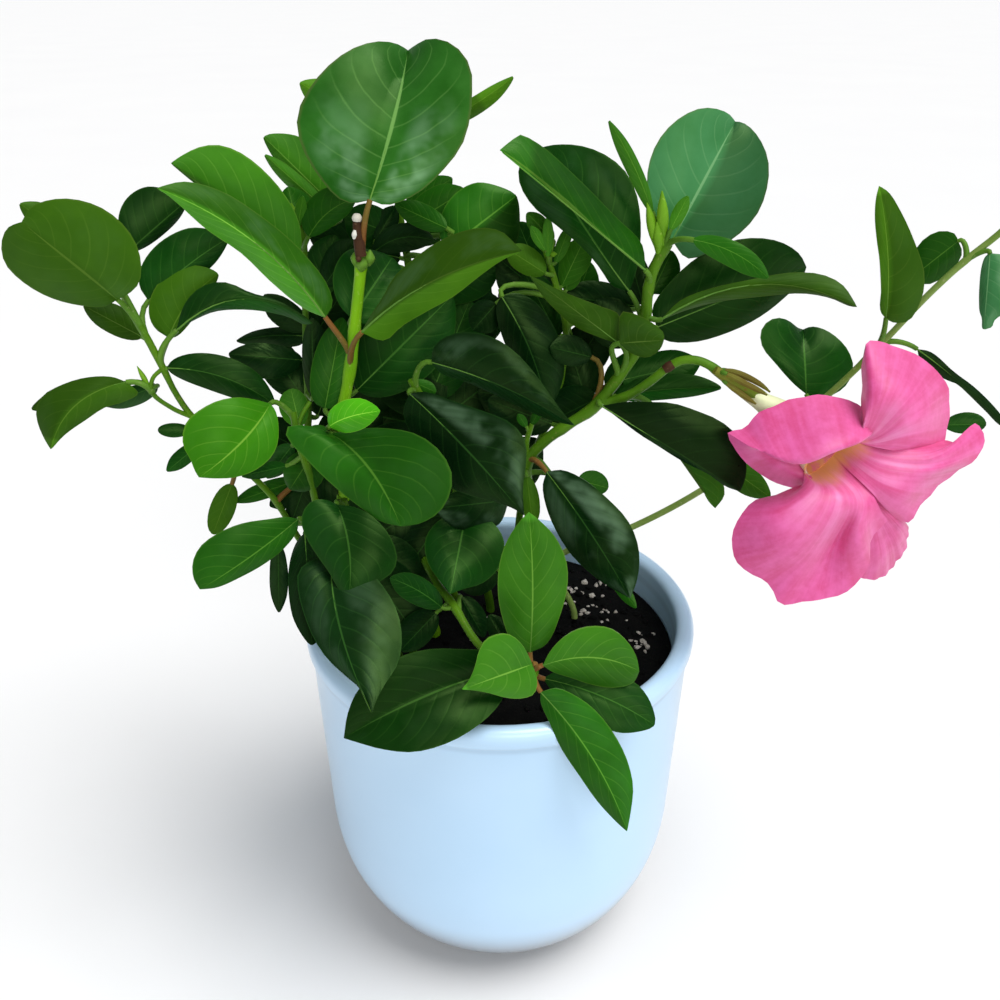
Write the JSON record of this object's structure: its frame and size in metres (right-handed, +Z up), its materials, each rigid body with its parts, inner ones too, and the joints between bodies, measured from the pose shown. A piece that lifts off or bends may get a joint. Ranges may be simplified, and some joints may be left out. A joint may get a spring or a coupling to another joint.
{
  "type": "potted mandevilla",
  "caption": "Climbing plant with leafy shoots, a twining stem and an open trumpet bloom, growing in soil in a round-bottomed glazed pot.",
  "frame": {"origin": "centre of the flat foot under the pot, on the surface it stands on", "axes": "+Z up along the pot's axis, -Y towards the side seen in the picture, +X to the right as seen from there, the side where the bloom hangs"},
  "size_m": [0.3346, 0.1649, 0.342],
  "materials": {
    "pot_glaze": "smooth satin glaze, pale blue",
    "potting_soil": "matt, crumbly, almost black",
    "leaf_green": "glossy leaf, green",
    "petal_pink": "soft satin petal, pink"
  },
  "bodies": {
    "root": {"pot": "pot_glaze", "soil": "potting_soil", "crown_shoot": "leaf_green", "bud_shoot": "leaf_green", "left_shoot": "leaf_green", "lime_shoot": "leaf_green", "low_left_shoot": "leaf_green", "front_sprig": "leaf_green", "centre_shoot": "leaf_green", "back_bud_shoot": "leaf_green", "tall_back_shoot": "leaf_green", "right_shoot": "leaf_green", "vine_shoot": "leaf_green", "bloom": "petal_pink"}
  },
  "joints": []
}
